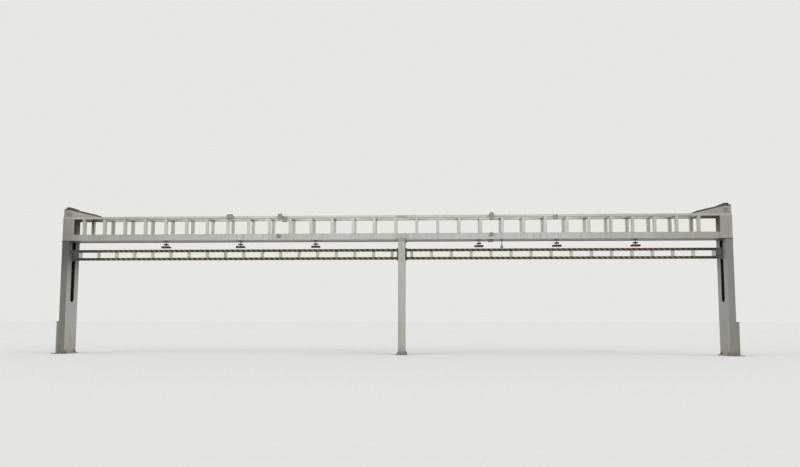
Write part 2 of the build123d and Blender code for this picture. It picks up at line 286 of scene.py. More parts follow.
def weathered_paint(
    name, colour, grime, rough, streaks=0.35, rust=0.7, face_shade=0.0, darkening=0.0, dust=0.5, ends=0.0
):
    """Satin paint on steel: uneven tone, rain streaks, road dust low down, rust and worn edges, and dirt
    with painted shade in corners and gaps.

    One share paints shade on the faces that look along the road, darker than those that look across
    it, one makes the upper half of a column darker, and ends paints shade along the beam that grows
    towards its ends, most on the left one."""
    n = Nodes(name)
    cloud = n.noise(0.7, 4.0)
    tone = n.mix(n.ramp(cloud, 0.35, 0.65), shade(colour, 0.9), colour)
    # Painted shade on the faces that look along the road, darker than those that look across it
    if face_shade:
        along = n.math("ABSOLUTE", n.turned("Y"))
        shade_patches = n.ramp(n.noise(1.3, 5.0, stretch=(1.0, 1.0, 0.5)), 0.2, 0.75, 0.75 * face_shade, face_shade)
        tone = n.mix(n.math("MULTIPLY", n.ramp(along, 0.5, 0.9), shade_patches), tone, FACE_SHADE_TONE)
    # Painted shade along the beam, growing towards its ends and deepest on the last stretch of the left
    # end
    if ends:
        far = n.ramp(n.math("ABSOLUTE", n.axis("X")), *BEAM_END_SHADE, 0.0, ends)
        last = n.ramp(n.math("MULTIPLY", n.axis("X"), -1.0), *LEFT_END_SHADE, 0.0, 0.5 * ends)
        shade_patches = n.ramp(n.noise(0.9, 5.0, stretch=(1.0, 1.0, 0.5)), 0.25, 0.7, 0.65, 1.0)
        tone = n.mix(n.math("MULTIPLY", n.math("ADD", far, last), shade_patches), tone, DIRT_AND_SHADE)
    streak = n.ramp(n.noise(1.0, 4.0, stretch=(14.0, 14.0, 0.45)), 0.52, 0.74, 0.0, streaks)
    tone = n.mix(streak, tone, DIRT_AND_SHADE)
    # Darker towards the top of a column, in uneven vertical patches
    if darkening:
        darkening_patches = n.ramp(n.noise(1.0, 3.0, stretch=(9.0, 9.0, 0.3)), 0.25, 0.6, 0.65 * darkening, darkening)
        upper = n.math("POWER", n.ramp(n.axis("Z"), 2.0, 5.2), 2.0)
        tone = n.mix(n.math("MULTIPLY", upper, darkening_patches), tone, DARKER_TONE)
    patch = n.ramp(n.noise(2.3, 5.0), 0.3, 0.7, 0.35, 1.0)
    low = n.ramp(n.axis("Z"), 0.05, 1.9, grime, 0.0)
    tone = n.mix(n.math("MULTIPLY", low, patch), tone, DUST)
    splash = n.ramp(n.axis("Z"), 0.03, 0.45, grime, 0.0)
    tone = n.mix(n.math("MULTIPLY", splash, n.ramp(n.noise(9.0, 5.0), 0.3, 0.6)), tone, DIRT_AND_SHADE)
    tone = n.settled(tone, dust)
    # Dirt in corners and gaps, together with painted shade there
    corner = n.crevice(0.12)
    tone = n.mix(n.math("MULTIPLY", corner, 0.45), tone, DIRT_AND_SHADE)
    damp = n.ramp(n.axis("Z"), 0.02, 0.3, rust, 0.0)
    damp = n.math("MULTIPLY", damp, n.ramp(n.noise(14.0, 5.0, rough=0.65), 0.38, 0.6))
    tone = n.mix(n.math("MULTIPLY", damp, corner), tone, RUST)
    spot = n.ramp(n.noise(5.0, 6.0, rough=0.7), 0.69, 0.76, 0.0, rust)
    chipped = n.ramp(n.noise(11.0, 5.0, rough=0.7), 0.5, 0.62, 0.0, 0.8)
    rounded, edge = n.edges(0.006)
    worn = n.math("MULTIPLY", edge, chipped)
    tone = n.mix(n.math("MAXIMUM", spot, worn), tone, RUST)
    fleck = n.ramp(n.noise(90.0, 2.0), 0.3, 0.7, 0.0, 0.12)
    tone = n.mix(fleck, tone, DIRT_AND_SHADE)
    gloss = n.ramp(cloud, 0.3, 0.7, rough - 0.07, rough + 0.1)
    wave = n.bump(n.noise(1.6, 2.0), 0.004, under=rounded)
    skin = n.bump(n.noise(240.0, 2.0), 0.0004, under=wave)
    return n.finish(tone, gloss, skin)


def dark_steel(name, colour, wear, rough, metallic):
    """Greased, primed or galvanised steel with brighter rubbed patches and edges."""
    n = Nodes(name)
    cloud = n.noise(3.0, 5.0)
    tone = n.mix(n.ramp(cloud, 0.35, 0.7), colour, shade(colour, 1.5))
    rub = n.ramp(n.noise(18.0, 5.0, stretch=(1.0, 1.0, 0.2)), 0.56, 0.72, 0.0, 0.6)
    rounded, edge = n.edges(0.003)
    tone = n.mix(n.math("MAXIMUM", rub, n.math("MULTIPLY", edge, 0.5)), tone, wear)
    gloss = n.ramp(n.noise(9.0, 3.0), 0.3, 0.7, rough - 0.1, rough + 0.15)
    skin = n.bump(n.noise(120.0, 3.0), 0.0006, under=rounded)
    return n.finish(tone, gloss, skin, metallic)


def plastic(name, colour, rough):
    """Matt moulded casing with a fine grain and settled dust."""
    n = Nodes(name)
    dust = n.ramp(n.noise(6.0, 5.0), 0.4, 0.75, 0.0, 0.35)
    tone = n.settled(n.mix(dust, colour, tuple(c * 2.2 + 0.03 for c in colour)), 0.5)
    gloss = n.ramp(n.noise(14.0, 3.0), 0.3, 0.7, rough - 0.08, rough + 0.1)
    skin = n.bump(n.noise(500.0, 2.0), 0.0003)
    return n.finish(tone, gloss, skin)


def hazard_paint(name):
    """Slanting black and yellow bands that wrap round a bar, scuffed, and black near the end columns."""
    n = Nodes(name)
    wobble = n.ramp(n.noise(25.0, 3.0), 0.0, 1.0, -0.006, 0.006)
    along = n.math("ADD", n.axis("X"), n.axis("Z"))
    along = n.math("SUBTRACT", along, n.axis("Y"))
    along = n.math("ADD", along, wobble)
    phase = n.math("FRACT", n.math("DIVIDE", along, BAND_PERIOD))
    edge = 0.02
    rise = n.ramp(phase, 0.0, edge)
    fall = n.ramp(phase, BAND_SHARE - edge, BAND_SHARE, 1.0, 0.0)
    band = n.math("MULTIPLY", rise, fall)
    # The yellow bands turn black towards the end columns
    darkening = n.ramp(n.math("ABSOLUTE", n.axis("X")), *BAR_DARKENING, 0.0, 0.8)
    tone = n.mix(band, BAND_BLACK, n.mix(darkening, BAND_YELLOW, BAND_BLACK))
    scuff = n.ramp(n.noise(7.0, 6.0, rough=0.65), 0.5, 0.72, 0.0, 0.55)
    tone = n.mix(scuff, tone, BAND_DIRT)
    fleck = n.ramp(n.noise(120.0, 2.0), 0.35, 0.7, 0.0, 0.2)
    tone = n.settled(n.mix(fleck, tone, BAND_DIRT), 0.6)
    gloss = n.ramp(scuff, 0.0, 0.55, 0.42, 0.7)
    skin = n.bump(n.noise(200.0, 2.0), 0.0004, under=n.bump(band, 0.0008))
    return n.finish(tone, gloss, skin)


def lens_glass(name, colour):
    """Dark coated glass with faint smears."""
    n = Nodes(name)
    smear = n.ramp(n.noise(40.0, 4.0, stretch=(1.0, 4.0, 1.0)), 0.45, 0.7, 0.06, 0.3)
    tone = n.mix(n.ramp(n.noise(15.0, 2.0), 0.3, 0.7), colour, shade(colour, 1.8))
    return n.finish(tone, smear, n.bump(n.noise(60.0, 2.0), 0.0001))


MATERIALS = {
    "frame_paint": weathered_paint("frame_paint", PAINT, grime=0.5, rough=0.48, ends=0.6),
    "cabinet_paint": weathered_paint("cabinet_paint", shade(PAINT, 0.5), grime=0.4, rough=0.45),
    "lift_paint": weathered_paint("lift_paint", shade(PAINT, 1.12), grime=0.2, rough=0.5),
    "cover_paint": weathered_paint("cover_paint", COVER_PAINT, grime=0.1, rough=0.6, rust=0.2, dust=0.25),
    "rail_steel": dark_steel("rail_steel", (0.05, 0.048, 0.045), (0.3, 0.29, 0.28), 0.45, 0.8),
    "carriage_steel": dark_steel("carriage_steel", (0.035, 0.034, 0.033), (0.16, 0.15, 0.14), 0.55, 0.4),
    "sensor_case": plastic("sensor_case", (0.016, 0.0165, 0.018), 0.5),
    "hazard_bar": hazard_paint("hazard_bar"),
}
# Darker copies of the frame paint for the columns, which paint shade on them, each to its own depth
COLUMN_PAINTS = {
    "left": weathered_paint(
        "left_column_paint", shade(PAINT, 0.69), grime=0.45, rough=0.5, streaks=0.45, face_shade=0.95, darkening=0.95
    ),
    "right": weathered_paint(
        "right_column_paint", shade(PAINT, 0.54), grime=0.45, rough=0.5, streaks=0.45, face_shade=0.4, darkening=0.12
    ),
    "centre": weathered_paint(
        "centre_column_paint", shade(PAINT, 0.84), grime=0.4, rough=0.48, streaks=0.4
    ),
}
# A lighter copy of the frame paint for the truss, which paints light on it
TRUSS_PAINT = weathered_paint("truss_paint", shade(PAINT, 1.18), grime=0.4, rough=0.48, ends=0.5)
DEVICE_PAINT = weathered_paint("device_paint", shade(PAINT, 0.56), grime=0.2, rough=0.5, rust=0.3)
TONGUE_STEEL = dark_steel("tongue_steel", (0.13, 0.13, 0.122), (0.24, 0.235, 0.22), 0.55, 0.1)
NODE_PAINTS = {"centre_knees": COLUMN_PAINTS["centre"]}
for column, column_paint in COLUMN_PAINTS.items():
    NODE_PAINTS[f"{column}_column"] = column_paint
    NODE_PAINTS[f"{column}_base_plate"] = column_paint
for half in ("left", "right"):
    NODE_PAINTS[f"{half}_front_truss"] = TRUSS_PAINT
    NODE_PAINTS[f"{half}_rear_truss"] = TRUSS_PAINT
    NODE_PAINTS[f"{half}_outer_carriage"] = TONGUE_STEEL
LENS_GLASS = lens_glass("lens_glass", (0.012, 0.014, 0.018))
ZINC = dark_steel("zinc", (0.2, 0.2, 0.195), (0.36, 0.355, 0.34), 0.5, 0.6)


def dress_nodes():
    """Give every solid its slot's material, or a material of its own, such as a copy of the frame paint
    with painted light or shade.
    """
    for part in frame["record"]["subparts"]:
        mesh = nodes[part["node"]].data
        mesh.materials.clear()
        mesh.materials.append(NODE_PAINTS.get(part["node"], MATERIALS[part["material_slot"]]))


class Pile:
    """Vertices and faces collected for one piece."""

    def __init__(self):
        self.points = []
        self.faces = []

    def add(self, points, faces, place=None):
        start = len(self.points)
        place = place or Matrix.Identity(4)
        self.points += [place @ Vector(point) for point in points]
        self.faces += [[start + i for i in face] for face in faces]

    def copy(self, other, place):
        self.add(other.points, other.faces, place)

    def loft(self, sections, closed=False, place=None):
        """Skin a row of like outlines, capped at both ends or joined into a ring."""
        count = len(sections[0])
        points = [point for section in sections for point in section]
        faces = []
        for j in range(len(sections) if closed else len(sections) - 1):
            near, far = j * count, (j + 1) % len(sections) * count
            steps = [(i, (i + 1) % count) for i in range(count)]
            faces += [[near + i, near + k, far + k, far + i] for i, k in steps]
        if not closed:
            faces.append(list(range(count))[::-1])
            faces.append([len(points) - count + i for i in range(count)])
        self.add(points, faces, place)

    def prism(self, outline, depth, place=None):
        """An outline in the local XY plane, drawn out along Z."""
        self.loft([[(x, y, z) for x, y in outline] for z in (0, depth)], place=place)

    def block(self, xs, ys, zs):
        """A box between pairs of limits, given in any order."""
        (x0, x1), (y0, y1), (z0, z1) = (sorted(limits) for limits in (xs, ys, zs))
        self.prism([(x0, y0), (x1, y0), (x1, y1), (x0, y1)], z1 - z0, Matrix.Translation((0, 0, z0)))

    def turned(self, profile, sides, place=None):
        """A profile of (radius, height) pairs turned about the local Z."""
        turns = [2 * math.pi * i / sides for i in range(sides)]
        rings = [[(r * math.cos(a), r * math.sin(a), z) for a in turns] for r, z in profile]
        self.loft(rings, place=place)


def facing(point, normal):
    """A place at a point with the local Z along the normal and Y as far up as it goes."""
    return Matrix.Translation(point) @ Vector(normal).to_track_quat("Z", "Y").to_matrix().to_4x4()


def spread(start, end, pitch):
    """Evenly spaced places from start to end, about a pitch apart."""
    count = max(1, round(abs(end - start) / pitch))
    return [start + (end - start) * i / count for i in range(count + 1)]


def rim(first, second, inset, pitch):
    """Places round the rim of a rectangle between two pairs of limits."""
    us = spread(first[0] + inset, first[1] - inset, pitch)
    vs = spread(second[0] + inset, second[1] - inset, pitch)
    along = [(u, v) for u in us for v in (vs[0], vs[-1])]
    return along + [(u, v) for v in vs[1:-1] for u in (us[0], us[-1])]


def bolt(size, stud=0.0):
    """A hexagon head on its washer, or a nut with a stud's end standing out of it."""
    across, height, washer = size
    corner = across / math.sqrt(3)
    rise = 0.12 * height
    pile = Pile()
    pile.turned([(washer, 0), (washer, rise)], 16)
    top = rise + height
    pile.turned([(corner, rise), (corner, top - 0.15 * height), (0.86 * corner, top)], 6)
    if stud:
        radius = 0.33 * across
        pile.turned([(radius, rise), (radius, top + stud), (0.8 * radius, top + 1.1 * stud)], 12)
    return pile


BOLT_M10 = bolt(M10)
BOLT_M16 = bolt(M16)
BOLT_M20 = bolt(M20)
NUT_M16 = bolt(M16, 0.008)
NUT_M36 = bolt(M36, 0.03)


def gland(radius):
    """The profile of a cable gland."""
    neck = radius - 0.003
    return [(radius, 0), (radius, 0.010), (neck, 0.012), (neck, 0.024), (radius - 0.006, 0.026)]


def weld_ring(pile, xs, ys, z, up, leg=WELD_LEG):
    """A rippled fillet weld round an upright rectangular tube, in its corner with a level face."""
    corners = [Vector((xs[i], ys[j])) for i, j in ((0, 0), (1, 0), (1, 1), (0, 1))]
    sections = []
    outward = Vector((-1, 0))
    for i, corner in enumerate(corners):
        along = corners[(i + 1) % 4] - corner
        before, outward = outward, Vector((along.y, -along.x)).normalized()
        count = max(1, round(along.length / WELD_PITCH))
        for k in range(count):
            spot = corner + along * (k / count)
            out = outward if k else outward + before
            size = leg * (0.88 + 0.24 * (k % 2))
            shares = ((-0.1, -0.1), (1.0, 0.0), (0.62, 0.62), (0.0, 1.0))
            flat = [(spot + out * (size * share), z + up * size * rise) for share, rise in shares]
            sections.append([(point.x, point.y, height) for point, height in flat])
    pile.loft(sections, closed=True)


def louvres(pile, place, width, height, pitch, depth=0.006):
    """Pressed louvres: the local X runs along a slat, Y up the panel and Z out of it."""
    for y in spread(0, height, pitch):
        outline = [(y, 0), (y - 0.55 * pitch, depth), (y - 0.65 * pitch, depth), (y - 0.3 * pitch, 0)]
        pile.loft([[(x, v, w) for v, w in outline] for x in (-width / 2, width / 2)], place=place)


def piece(name, pile, slot, body="gantry", bevel=0.0, material=None):
    """Make a scene object of a pile, with softened edges, on the body that carries it."""
    mesh = bpy.data.meshes.new(name)
    mesh.from_pydata(pile.points, [], pile.faces)
    shell = bmesh.new()
    shell.from_mesh(mesh)
    bmesh.ops.recalc_face_normals(shell, faces=shell.faces)
    shell.to_mesh(mesh)
    shell.free()
    mesh.shade_smooth()
    mesh.set_sharp_from_angle(angle=math.radians(35))
    mesh.materials.append(material or MATERIALS[slot])
    obj = bpy.data.objects.new(name, mesh)
    scene.collection.objects.link(obj)
    if bevel:
        soften(obj, bevel)
    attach(obj, body)


def soften(obj, width):
    """Round the sharp edges of an object."""
    rounding = obj.modifiers.new("soften", "BEVEL")
    rounding.width = width
    rounding.segments = 2
    rounding.limit_method = "ANGLE"
    rounding.angle_limit = math.radians(40)
    rounding.harden_normals = True


def end_xs(name, sign):
    """The X of the inner and of the outer end of a piece, by the side that it is on."""
    low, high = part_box(name)
    return (low.x, high.x) if sign > 0 else (high.x, low.x)


def underside():
    """The height of the underside of the soffit plate, which lies on the lower flanges."""
    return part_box("front_lower_chord")[0].z + FLANGE_THICKNESS


def column_shaft(name):
    """The low and high corners of a column without its head flange's overhang."""
    low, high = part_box(name)
    inset = Vector((0, HEAD_OVERHANG, 0))
    return low + inset, high - inset


def add_feet():
    """Anchor nuts and the welds of the columns to their foot plates."""
    for side, paint in COLUMN_PAINTS.items():
        low, high = column_shaft(f"{side}_column")
        middle = (low.x + high.x) / 2
        nuts = Pile()
        corner_xs = (low.x - ANCHOR_EDGE, high.x + ANCHOR_EDGE)
        spots = [(x, y) for x in corner_xs for y in (low.y + ANCHOR_SETBACK, high.y - ANCHOR_SETBACK)]
        spots += [(middle, low.y - ANCHOR_EDGE), (middle, high.y + ANCHOR_EDGE)]
        for i, (x, y) in enumerate(spots):
            turn = Matrix.Rotation(0.7 * i, 4, "Z")
            nuts.copy(NUT_M36, Matrix.Translation((x, y, BASE_THICKNESS)) @ turn)
        piece(f"{side}_anchor_nuts", nuts, "rail_steel", bevel=0.001, material=ZINC)
        welds = Pile()
        weld_ring(welds, (low.x, high.x), (low.y, high.y), BASE_THICKNESS, 1, 0.012)
        weld_ring(welds, (low.x, high.x), (low.y, high.y), high.z - HEAD_THICKNESS, -1, 0.010)
        piece(f"{side}_column_welds", welds, "frame_paint", material=paint)


def add_rail_bolts():
    """Bolt heads beside the slots, which hold the guide rails behind them."""
    rail_low, rail_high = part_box("centre_guide_rails")
    heights = spread(rail_low.z + 0.1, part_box("centre_column")[1].z - 0.12, 0.4)
    inset = 0.03
    for side, faces in (("left", (1,)), ("right", (-1,)), ("centre", (-1, 1))):
        low, high = column_shaft(f"{side}_column")
        bolts = Pile()
        for face in faces:
            x = high.x if face > 0 else low.x
            for z in heights:
                for y in (rail_low.y + inset, rail_high.y - inset):
                    bolts.copy(BOLT_M16, facing((x, y, z), (face, 0, 0)))
        piece(f"{side}_rail_bolts", bolts, "frame_paint", bevel=0.0008, material=COLUMN_PAINTS[side])


def add_splices():
    """Bolted splice plates where the two halves of the beam meet over the centre column."""
    for label, sign in FACES:
        chord_low, chord_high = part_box(f"{label}_lower_chord")
        face = sign * max(abs(chord_low.y), abs(chord_high.y))
        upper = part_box(f"left_{label}_truss")[1].z
        plates = Pile()
        for middle, half_height, half_length, thick, head, rows in (
            ((chord_low.z + chord_high.z) / 2, 0.105, 0.30, 0.012, BOLT_M20, 3),
            (upper - UPPER_CHORD_HEIGHT / 2, 0.042, 0.22, 0.010, BOLT_M16, 2),
        ):
            plates.block(
                (CENTRE_X - half_length, CENTRE_X + half_length),
                (face, face + sign * thick),
                (middle - half_height, middle + half_height),
            )
            reach = half_height - 0.03
            for z in spread(middle - reach, middle + reach, 2 * half_height / rows):
                for x in spread(0.04, half_length - 0.035, 0.075):
                    for way in (-1, 1):
                        spot = (CENTRE_X + way * x, face + sign * thick, z)
                        plates.copy(head, facing(spot, (0, sign, 0)))
        piece(f"{label}_beam_splices", plates, "frame_paint", bevel=0.0008)


def post_places(label):
    """The X of each post of one side of the beam, read from the corners of its mesh."""
    places = set()
    for half in ("left", "right"):
        mesh = nodes[f"{half}_{label}_truss"].data
        feet = min(vertex.co.z for vertex in mesh.vertices)
        xs = sorted({round(vertex.co.x, 3) for vertex in mesh.vertices if vertex.co.z < feet + 0.001})
        for x in xs:
            partner = round(x + CHORD_TUBE, 3)
            if any(abs(partner - other) < 0.002 for other in xs):
                places.add(round(x + CHORD_TUBE / 2, 3))
    return sorted(places)


def add_post_welds():
    """Fillet welds at the head and foot of every post of the beam."""
    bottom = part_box("front_lower_chord")[1].z
    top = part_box("left_front_truss")[1].z - UPPER_CHORD_HEIGHT
    outer = abs(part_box("front_lower_chord")[0].y)
    half = CHORD_TUBE / 2
    for label, sign in FACES:
        ys = sorted((sign * outer, sign * (outer - CHORD_TUBE)))
        welds = Pile()
        for x in post_places(label):
            weld_ring(welds, (x - half, x + half), ys, bottom, 1)
            weld_ring(welds, (x - half, x + half), ys, top, -1)
        piece(f"{label}_post_welds", welds, "frame_paint", material=TRUSS_PAINT)


def add_soffit_bolts():
    """Bolts through the lower flanges that hold the soffit plate, apart from those over a column."""
    low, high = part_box("front_lower_chord")
    row = -low.y - 0.085
    over_column = 0.5
    bolts = Pile()
    for y in (-row, row):
        for x in spread(low.x + 0.6, high.x - 0.6, 0.5):
            if abs(x - CENTRE_X) > over_column:
                bolts.copy(BOLT_M16, facing((x, y, low.z), (0, 0, -1)))
    piece("soffit_bolts", bolts, "frame_paint", bevel=0.0008)


def add_end_screws():
    """Screws round the infill panels and the framed plate on each end of the beam."""
    for side, sign in SIDES:
        low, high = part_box(f"{side}_end_cover")
        end = end_xs(f"{side}_end_cover", sign)[1]
        inner = end - sign * END_PLATE
        screws = Pile()
        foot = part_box("front_lower_chord")[1].z
        head = high.z - UPPER_CHORD_HEIGHT
        for way, length in END_PANELS:
            xs = sorted((inner, inner - sign * length))
            for x, z in rim(xs, (foot, head), 0.03, 0.15):
                screws.copy(BOLT_M10, facing((x, way * high.y, z), (0, way, 0)))
        for y, z in rim((low.y, high.y), (low.z, high.z), 0.028, 0.18):
            screws.copy(BOLT_M10, facing((end, y, z), (sign, 0, 0)))
        piece(f"{side}_end_screws", screws, "frame_paint", bevel=0.0006)


def add_housing_trim():
    """Foot angles, louvres and screws on the sheave housings, and the trim of their covers."""
    for side, sign in SIDES:
        low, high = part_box(f"{side}_sheave_housing")
        inner, outer = end_xs(f"{side}_sheave_housing", sign)
        angle = 0.005
        trim = Pile()
        for way in (-1, 1):
            face = way * high.y
            trim.block((inner, outer), (face, face + way * 0.026), (low.z, low.z + angle))
            trim.block((inner, outer), (face, face + way * 0.004), (low.z, low.z + 0.03))
            for x in spread(inner + sign * 0.06, outer - sign * 0.06, 0.22):
                trim.copy(BOLT_M10, facing((x, face + way * 0.015, low.z + angle), (0, 0, 1)))
            vent = facing((outer - sign * 0.24, face, low.z + 0.08), (0, way, 0))
            louvres(trim, vent, width=0.24, height=0.18, pitch=0.026)
            for z in (low.z + 0.06, high.z - 0.12, high.z - 0.03):
                trim.copy(BOLT_M10, facing((outer - sign * 0.03, face, z), (0, way, 0)))
        for y, z in rim((low.y, high.y), (low.z, high.z), 0.035, 0.2):
            trim.copy(BOLT_M10, facing((outer, y, z), (sign, 0, 0)))
        piece(f"{side}_housing_trim", trim, "frame_paint", bevel=0.0006)
        add_cover_trim(side, sign, high.z)


def add_cover_trim(side, sign, ridge):
    """Screws along the skirt of a dark cover, and the louvres and roof of its vent cap.

    The ridge is the height of the cover's level stretch, on which the cap stands."""
    low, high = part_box(f"{side}_housing_cover")
    near, far = sorted((abs(low.x), abs(high.x)))
    bend = far - HOUSING_FLAT
    bottom = ridge - COVER_HEIGHT
    slope = (bottom - low.z) / (bend - near)
    trim = Pile()
    for way in (-1, 1):
        for x in spread(near + 0.05, far - 0.04, 0.2):
            z = bottom - slope * max(0.0, bend - x) + COVER_HEIGHT / 2
            trim.copy(BOLT_M10, facing((sign * x, way * high.y, z), (0, way, 0)))

    cap_x = sign * (far - HOUSING_FLAT / 2)
    half_length, half_depth = CAP_SIZE[0] / 2, CAP_SIZE[1] / 2
    foot = ridge + 0.018
    for way in (-1, 1):
        for y in (-0.22, 0.0, 0.22):
            flank = facing((cap_x + way * half_length, y, foot), (way, 0, 0))
            louvres(trim, flank, width=0.19, height=0.034, pitch=0.017, depth=0.005)
        end = facing((cap_x, way * half_depth, foot), (0, way, 0))
        louvres(trim, end, width=0.15, height=0.034, pitch=0.017, depth=0.005)
    eave = 0.012
    reach = half_length + eave
    roof = [(-reach, -0.016), (reach, -0.016), (reach, -0.010), (0, -0.0015), (-reach, -0.010)]
    depth = 2 * (half_depth + eave)
    turn = Matrix.Rotation(math.pi / 2, 4, "X")
    trim.prism(roof, depth, Matrix.Translation((cap_x, depth / 2, high.z)) @ turn)
    piece(f"{side}_cover_trim", trim, "cover_paint", bevel=0.0008)


def add_cabinet_fittings():
    """Hinges, flush handle, louvres and roof screws of the winch cabinets."""
    for side, sign in SIDES:
        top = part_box(f"{side}_winch_cabinet")[1].z
        outer = end_xs(f"{side}_winch_cabinet", sign)[1]
        case = outer - sign * CABINET_ROOF_OVERHANG
        door = case + sign * CABINET_DOOR_RISE
        fittings = Pile()
        hinge = [(0.006, 0), (0.007, 0.003), (0.007, 0.077), (0.006, 0.08)]
        hinge_y = sign * 0.214
        for z in (0.32, 0.81, 1.30):
            fittings.turned(hinge, 12, Matrix.Translation((case + sign * 0.0065, hinge_y, z)))
            fittings.block((case, case + sign * 0.003), (hinge_y, sign * 0.238), (z + 0.006, z + 0.074))
        for z, height in ((0.22, 0.24), (1.20, 0.18)):
            louvres(fittings, facing((door, 0, z), (sign, 0, 0)), width=0.26, height=height, pitch=0.03)
        for y in spread(-0.2, 0.2, 0.133):
            fittings.copy(BOLT_M10, facing((outer - sign * 0.012, y, top - 0.0005), (0, 0, 1)))
        piece(f"{side}_cabinet_fittings", fittings, "cabinet_paint", bevel=0.0008)

        # A dish with a raised rim, with the pull in it and the lock above the pull
        latch = Pile()
        y = -sign * 0.17
        foot, head = 0.78, 0.94
        half, rim_width = 0.022, 0.006
        latch.block((door, door + sign * 0.002), (y - half, y + half), (foot, head))
        for ys in ((y - half, y - half + rim_width), (y + half - rim_width, y + half)):
            latch.block((door, door + sign * rim_width), ys, (foot, head))
        for zs in ((foot, foot + rim_width), (head - rim_width, head)):
            latch.block((door, door + sign * rim_width), (y - half + rim_width, y + half - rim_width), zs)
        latch.block((door + sign * 0.002, door + sign * 0.007), (y - 0.010, y + 0.010), (0.80, 0.90))
        lock = [(0.009, 0), (0.009, 0.005), (0.007, 0.006)]
        latch.turned(lock, 16, facing((door, y, 0.918), (sign, 0, 0)))
        piece(f"{side}_cabinet_latch", latch, "rail_steel", bevel=0.0006, material=ZINC)


def add_sensor_fittings():
    """Bezels, fins, glands, flanges and lenses of the lane sensors under the beam."""
    for side in ("left", "right"):
        for number in (1, 2, 3):
            low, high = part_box(f"{side}_lane_sensor_{number}")
            x = (low.x + high.x) / 2
            case = sensor_case_fittings(x, low.z)
            piece(f"{side}_sensor_fittings_{number}", case, "sensor_case", bevel=0.0008)
            glass = sensor_glass(x, low.z)
            piece(f"{side}_sensor_glass_{number}", glass, "sensor_case", material=LENS_GLASS)


def sensor_case_fittings(x, foot):
    """What stands out of one sensor's case, from its foot up to the flange on the soffit."""
    case = Pile()
    flange_foot = underside() - 0.012
    flange_xs, flange_ys = (x - 0.09, x + 0.09), (-0.09, 0.09)
    case.block(flange_xs, flange_ys, (flange_foot, underside()))
    for spot_x, spot_y in rim(flange_xs, flange_ys, 0.022, 0.2):
        case.copy(BOLT_M16, facing((spot_x, spot_y, flange_foot), (0, 0, -1)))
    head_top = foot + SENSOR_HEAD_HEIGHT
    for fin in spread(x - 0.17, x + 0.17, 0.02):
        if abs(fin - x) > 0.04:
            case.block((fin - 0.0015, fin + 0.0015), (-0.095, 0.095), (head_top, head_top + 0.014))
    for way in (-1, 1):
        bezel = (way * 0.118, way * 0.124)
        for z in (foot + 0.008, foot + 0.060):
            case.block((x - 0.15, x + 0.15), bezel, (z, z + 0.006))
        for end in (x - 0.15, x + 0.144):
            case.block((end, end + 0.006), bezel, (foot + 0.014, foot + 0.060))
        case.turned(gland(0.012), 12, facing((x + way * 0.095, 0.03, foot + 0.17), (way, 0, 0)))
    for spot_x, spot_y in rim((x - 0.095, x + 0.095), (-0.075, 0.075), 0.014, 0.2):
        case.copy(BOLT_M10, facing((spot_x, spot_y, foot + 0.14), (0, 0, -1)))
    return case


def sensor_glass(x, foot):
    """The windows in the front and rear of a sensor and the two lenses under it."""
    glass = Pile()
    for way in (-1, 1):
        glass.block((x - 0.142, x + 0.142), (way * 0.115, way * 0.1215), (foot + 0.016, foot + 0.058))
    lens = [(0.05, 0.0), (0.05, 0.004), (0.044, 0.006), (0.03, 0.009), (0.015, 0.0105), (0.004, 0.011)]
    for lens_x in (x - 0.10, x + 0.10):
        glass.turned(lens, 32, facing((lens_x, 0, foot + 0.011), (0, 0, -1)))
    return glass


def add_chord_devices():
    """Small cased devices on brackets, on the front of the beam's chords."""
    low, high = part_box("left_front_truss")
    face = low.y
    front = face - DEVICE_STANDOFF
    lid_depth = 0.012
    lower_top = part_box("front_lower_chord")[1].z
    for number, (x, width, bottom, top) in enumerate(CHORD_DEVICES, 1):
        half = width / 2
        tall = top - bottom
        cut = 0.012
        case = Pile()
        outline = [(-half + cut, 0), (half - cut, 0), (half, cut), (half, tall - cut)]
        outline += [(half - cut, tall), (-half + cut, tall), (-half, tall - cut), (-half, cut)]
        case.prism(outline, DEVICE_DEPTH - lid_depth, facing((x, front, bottom), (0, -1, 0)))
        lid = [(u * 0.93, tall / 2 + (v - tall / 2) * 0.93) for u, v in outline]
        case.prism(lid, lid_depth, facing((x, front - DEVICE_DEPTH + lid_depth, bottom), (0, -1, 0)))
        hanger_top = high.z - 0.01 if bottom > lower_top else top - 0.02
        for way in (-1, 1):
            middle = x + way * 0.3 * width
            case.block((middle - 0.012, middle + 0.012), (face, front), (bottom + 0.02, hanger_top))
            for z in (bottom + 0.022, top - 0.022):
                screw = facing((x + way * (half - 0.02), front - DEVICE_DEPTH, z), (0, -1, 0))
                case.turned(SCREW_HEAD, 12, screw)
        hood = (x - 0.4 * width, x + 0.4 * width)
        case.block(hood, (front - DEVICE_DEPTH - 0.012, front), (top, top + 0.004))
        case.turned(gland(0.011), 12, facing((x, front - 0.035, bottom), (0, 0, -1)))
        piece(f"chord_device_{number}", case, "cabinet_paint", bevel=0.0015, material=DEVICE_PAINT)


